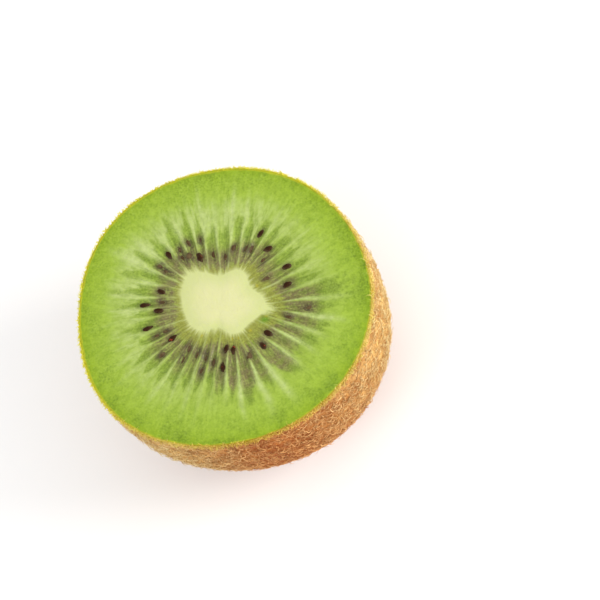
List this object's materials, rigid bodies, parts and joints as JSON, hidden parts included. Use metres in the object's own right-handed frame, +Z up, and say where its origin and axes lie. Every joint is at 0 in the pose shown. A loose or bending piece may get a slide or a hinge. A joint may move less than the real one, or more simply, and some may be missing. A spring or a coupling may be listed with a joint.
{
  "type": "kiwi fruit half",
  "caption": "Half of a fresh kiwi fruit, cut across its middle, with a pale core, a ring of dark pips in green flesh and a thin brown furry skin.",
  "frame": {"origin": "on the floor under the middle of the half's bounding box, at the level of the flat end scar that it stands on", "axes": "+Z up, out of the cut face; +X along the wider diameter of the cut face; +Y along the narrower one"},
  "size_m": [0.0528, 0.0508, 0.0335],
  "materials": {
    "flesh": "moist translucent green fruit flesh, satin",
    "skin": "thin dry brown rind, matt",
    "pips": "wet black-brown pips, glossy",
    "fuzz": "short soft golden brown hairs",
    "scar": "dry woody end scar, rough"
  },
  "bodies": {
    "root": {"kiwi_half": "flesh"}
  },
  "joints": []
}
